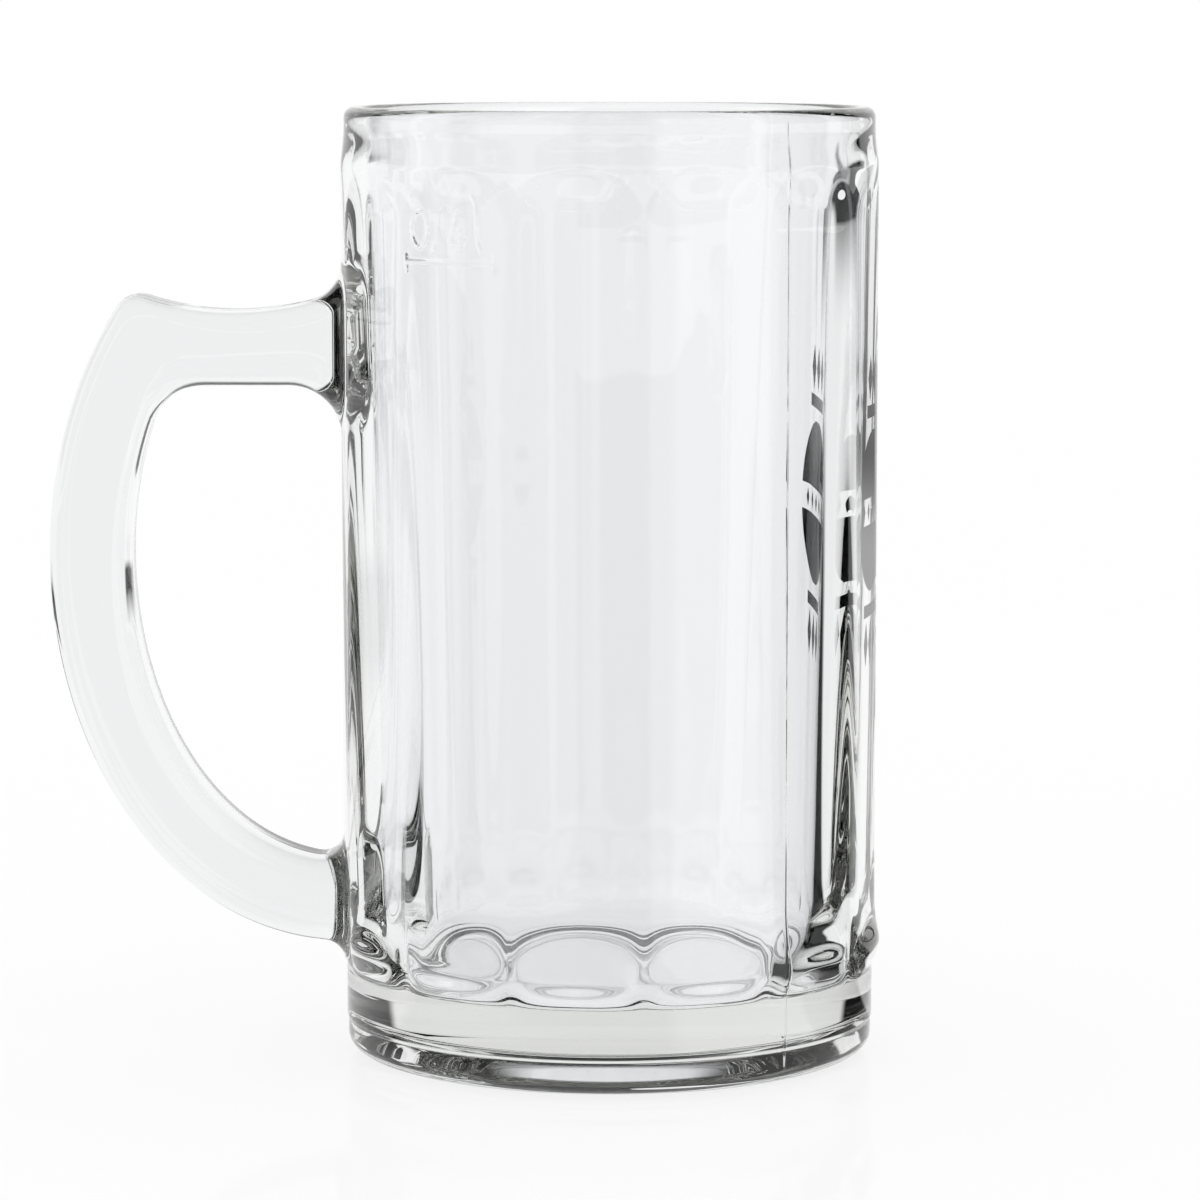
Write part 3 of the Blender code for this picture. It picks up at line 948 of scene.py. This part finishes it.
@dataclass(frozen=True)
class PrintFinish:
    """Fired black enamel, a little uneven."""

    name: str = "black_enamel"
    dark: float = 0.004
    pale: float = 0.010
    specular: float = 0.15
    roughness: float = 0.35
    grain: float = 900.0

    def material(self) -> bpy.types.Material:
        """Make the material.

        Returns:
            The material.
        """
        material = bpy.data.materials.new(self.name)
        material.use_nodes = True
        tree = material.node_tree
        shader = tree.nodes["Principled BSDF"]
        shader.inputs["Roughness"].default_value = self.roughness
        shader.inputs["Specular IOR Level"].default_value = self.specular
        noise = tree.nodes.new("ShaderNodeTexNoise")
        noise.inputs["Scale"].default_value = self.grain
        ramp = tree.nodes.new("ShaderNodeMapRange")
        ramp.inputs["To Min"].default_value = self.dark
        ramp.inputs["To Max"].default_value = self.pale
        tree.links.new(noise.outputs["Fac"], ramp.inputs["Value"])
        tree.links.new(ramp.outputs["Result"], shader.inputs["Base Color"])
        return material


@dataclass(frozen=True)
class Flag:
    """A dark studio flag beside the set, seen only in the glass. On the backdrop it darkens the world;
    on the table it is painted shade, a dark patch that stands in for the flag's shadow and reflection.

    Its ends are distances from the mug's axis for painted shade on the table, and shares of the
    way up to the zenith for a flag on the backdrop.
    """

    azimuth: float
    half_width: float
    softness: float
    nearest: float = 0.045
    farthest: float = 10.0
    fade_in: float = 1.5
    fade_out: float = 1.2


@dataclass(frozen=True)
class Surround:
    """What the glass sees round the set: a white backdrop and table, dark flags and a dark ceiling, with the
    table's flags as painted shade on the table.
    """

    dark: float = 0.012
    backdrop_top: Point = (0.50, 0.70)
    # Painted shade: dark patches on the table, seen only through the glass, in place of the flags' shadows
    # and reflections.
    painted_table_shade: tuple[Flag, ...] = (
        Flag(math.radians(4.0), math.radians(18.0), math.radians(4.0)),
        Flag(math.radians(146.0), math.radians(7.0), math.radians(5.0), 0.36, 0.68),
        Flag(math.radians(242.0), math.radians(46.0), math.radians(8.0)),
        Flag(math.radians(48.0), math.radians(14.0), math.radians(4.0), 0.75),
    )
    backdrop_flags: tuple[Flag, ...] = (
        Flag(math.radians(12.0), math.radians(32.0), math.radians(4.0), 0.001),
        Flag(math.radians(158.0), math.radians(14.0), math.radians(4.0), 0.05),
        Flag(math.radians(243.0), math.radians(40.0), math.radians(8.0), 0.001),
    )


class NodeSums:
    """Short ways to add value nodes to a node tree."""

    def __init__(self, tree: bpy.types.NodeTree) -> None:
        """Keep the tree."""
        self.tree = tree

    def math(self, kind: str, first: Value, second: Value | None = None) -> Socket:
        """Add a sum.

        Args:
            kind: The math node's operation.
            first: Its first value, a number or a socket.
            second: Its second value, if it takes one.

        Returns:
            The socket with the answer.
        """
        node = self.tree.nodes.new("ShaderNodeMath")
        node.operation = kind
        for index, value in enumerate((first, second)):
            if isinstance(value, Socket):
                self.tree.links.new(value, node.inputs[index])
            elif value is not None:
                node.inputs[index].default_value = value
        return node.outputs["Value"]

    def ranged(self, value: Socket, low: float, high: float) -> Socket:
        """Add a smooth rise from 0 to 1 between two values.

        Args:
            value: The value to look at.
            low: Where the rise starts.
            high: Where it ends.

        Returns:
            The socket with the share.
        """
        node = self.tree.nodes.new("ShaderNodeMapRange")
        node.interpolation_type = "SMOOTHSTEP"
        node.inputs["From Min"].default_value = low
        node.inputs["From Max"].default_value = high
        self.tree.links.new(value, node.inputs["Value"])
        return node.outputs["Result"]

    def shade(self, place: Socket, reach: Socket, flags: tuple[Flag, ...]) -> Socket:
        """Work out how far some flags darken a direction or a place.

        Args:
            place: The direction, or the place as seen from the mug's axis.
            reach: The measure that the flags' two ends are given in.
            flags: The flags.

        Returns:
            The share of darkness.
        """
        parts = self.tree.nodes.new("ShaderNodeSeparateXYZ")
        self.tree.links.new(place, parts.inputs["Vector"])
        azimuth = self.math("ARCTAN2", parts.outputs["Y"], parts.outputs["X"])
        darkness: Value = 0.0
        for flag in flags:
            facing = self.math("COSINE", self.math("SUBTRACT", azimuth, flag.azimuth))
            edge = math.cos(flag.half_width + flag.softness)
            covered = self.ranged(facing, edge, math.cos(flag.half_width))
            begun = self.ranged(reach, flag.nearest, flag.fade_in * flag.nearest)
            going_on = self.ranged(reach, flag.fade_out * flag.farthest, flag.farthest)
            within = self.math("MULTIPLY", begun, going_on)
            darkness = self.math("MAXIMUM", self.math("MULTIPLY", covered, within), darkness)
        return darkness

    def through_glass(self) -> tuple[Socket, Socket]:
        """Tell what the camera sees itself from what it sees in the glass.

        Returns:
            Two sockets: the camera's own rays, and those by way of the glass.
        """
        path = self.tree.nodes.new("ShaderNodeLightPath")
        glass = self.math("MAXIMUM", path.outputs["Is Glossy Ray"], path.outputs["Is Transmission Ray"])
        return path.outputs["Is Camera Ray"], glass


@dataclass(frozen=True)
class FloorFinish:
    """A plain white table with a faint sheen, bright to the eye and through the glass, with painted flag
    shade that only the glass sees.
    """

    name: str = "white_table"
    white: float = 0.98
    roughness: float = 0.06
    specular: float = 0.12
    grain: float = 0.01
    grain_scale: float = 30.0
    glow: float = 0.82

    def material(self, surround: Surround) -> bpy.types.Material:
        """Make the material.

        Args:
            surround: The flags whose painted shade the glass sees on the table.

        Returns:
            The material.
        """
        material = bpy.data.materials.new(self.name)
        material.use_nodes = True
        tree = material.node_tree
        sums = NodeSums(tree)
        shader = tree.nodes["Principled BSDF"]
        shader.inputs["Specular IOR Level"].default_value = self.specular
        shader.inputs["Roughness"].default_value = self.roughness
        noise = tree.nodes.new("ShaderNodeTexNoise")
        noise.inputs["Scale"].default_value = self.grain_scale
        ramp = tree.nodes.new("ShaderNodeMapRange")
        ramp.inputs["To Min"].default_value = self.white - self.grain
        ramp.inputs["To Max"].default_value = self.white + self.grain
        tree.links.new(noise.outputs["Fac"], ramp.inputs["Value"])
        tree.links.new(ramp.outputs["Result"], shader.inputs["Base Color"])
        geometry = tree.nodes.new("ShaderNodeNewGeometry")
        away = tree.nodes.new("ShaderNodeVectorMath")
        away.operation = "LENGTH"
        tree.links.new(geometry.outputs["Position"], away.inputs[0])
        # Painted shade: the flags' dark patches on the table, by azimuth round the mug's axis.
        darkness = sums.shade(geometry.outputs["Position"], away.outputs["Value"], surround.painted_table_shade)
        camera, glass = sums.through_glass()
        bright = tree.nodes.new("ShaderNodeEmission")
        # The painted shade dims the table's glow only for rays through the glass.
        painted_flag_shade = sums.math("MULTIPLY", darkness, glass)
        tree.links.new(sums.math("SUBTRACT", 1.0, painted_flag_shade), bright.inputs["Strength"])
        seen = sums.math("MULTIPLY", sums.math("MAXIMUM", camera, glass), self.glow)
        mix = tree.nodes.new("ShaderNodeMixShader")
        tree.links.new(sums.math("MAXIMUM", seen, painted_flag_shade), mix.inputs[0])
        tree.links.new(shader.outputs["BSDF"], mix.inputs[1])
        tree.links.new(bright.outputs["Emission"], mix.inputs[2])
        tree.links.new(mix.outputs["Shader"], tree.nodes["Material Output"].inputs["Surface"])
        return material


@dataclass
class Studio:
    """White table, soft light all round with dark flags, and the photograph's camera.

    The photograph's focal length and width are in its own pixels, and the sensor is in
    millimetres.
    """

    distance: float = 0.7827
    camera_height: float = 0.1606
    tilt: float = math.radians(6.607)
    sensor_width: float = 36.0
    photo_focal: float = 5092.45
    photo_width: float = 1200.0
    camera_side: float = -0.00147
    table_size: float = 6.0
    table_drop: float = 0.0003
    glass_bounces: int = 40
    other_bounces: int = 16
    floor: FloorFinish = field(default_factory=FloorFinish)
    surround: Surround = field(default_factory=Surround)

    @property
    def lens(self) -> float:
        """The camera's focal length, in millimetres."""
        return self.sensor_width * self.photo_focal / self.photo_width

    def build(self) -> None:
        """Set up the table, the light and the camera."""
        self.lay_table()
        self.light()
        self.place_camera()

    def lay_table(self) -> None:
        """Lay the table just under the mug."""
        half = self.table_size / 2.0
        mesh = bpy.data.meshes.new("table")
        corners = [(-half, -half), (half, -half), (half, half), (-half, half)]
        mesh.from_pydata([(x, y, -self.table_drop) for x, y in corners], [], [(0, 1, 2, 3)])
        mesh.materials.append(self.floor.material(self.surround))
        table = bpy.data.objects.new("table", mesh)
        bpy.context.scene.collection.objects.link(table)

    def light(self) -> None:
        """Light the set evenly, and let the glass see the flags."""
        world = bpy.data.worlds.new("studio")
        bpy.context.scene.world = world
        world.use_nodes = True
        tree = world.node_tree
        tree.nodes.clear()
        sums = NodeSums(tree)
        place = tree.nodes.new("ShaderNodeTexCoord")
        parts = tree.nodes.new("ShaderNodeSeparateXYZ")
        tree.links.new(place.outputs["Generated"], parts.inputs["Vector"])
        flags = sums.shade(place.outputs["Generated"], parts.outputs["Z"], self.surround.backdrop_flags)
        ceiling = sums.ranged(parts.outputs["Z"], *self.surround.backdrop_top)
        darkness = sums.math("MAXIMUM", ceiling, flags)
        _, glass = sums.through_glass()
        level = sums.math("MULTIPLY", sums.math("MULTIPLY", darkness, glass), 1.0 - self.surround.dark)
        background = tree.nodes.new("ShaderNodeBackground")
        tree.links.new(sums.math("SUBTRACT", 1.0, level), background.inputs["Strength"])
        background.inputs["Color"].default_value = (1.0, 1.0, 1.0, 1.0)
        output = tree.nodes.new("ShaderNodeOutputWorld")
        tree.links.new(background.outputs["Background"], output.inputs["Surface"])

    def place_camera(self) -> None:
        """Set the camera at the photograph's viewing angle."""
        data = bpy.data.cameras.new("camera")
        data.sensor_width = self.sensor_width
        data.lens = self.lens
        camera = bpy.data.objects.new("camera", data)
        camera.location = (self.camera_side, -self.distance, self.camera_height)
        camera.rotation_euler = (math.pi / 2.0 - self.tilt, 0.0, 0.0)
        bpy.context.scene.collection.objects.link(camera)
        scene = bpy.context.scene
        scene.camera = camera
        scene.view_settings.view_transform = "Standard"
        scene.cycles.max_bounces = self.glass_bounces
        scene.cycles.transmission_bounces = self.glass_bounces
        scene.cycles.glossy_bounces = self.other_bounces
        scene.cycles.transparent_max_bounces = self.other_bounces


def report(piece: bpy.types.Object) -> None:
    """Log a piece's name and how fine it is."""
    LOG.info("%s: %d vertices, %d faces", piece.name, len(piece.data.vertices), len(piece.data.polygons))


def main() -> None:
    """Build the mug and its set, and report each piece."""
    logging.basicConfig(level=logging.INFO, format="%(name)s: %(message)s")
    mug = MugGlass()
    glass = mug.build()
    mug.dress(glass, GlassFinish())
    report(glass)
    ornament = WallPrint()
    enamel = ornament.build()
    ornament.dress(enamel, PrintFinish())
    report(enamel)
    Studio().build()
    LOG.info("studio set up")


if __name__ == "__main__":
    main()
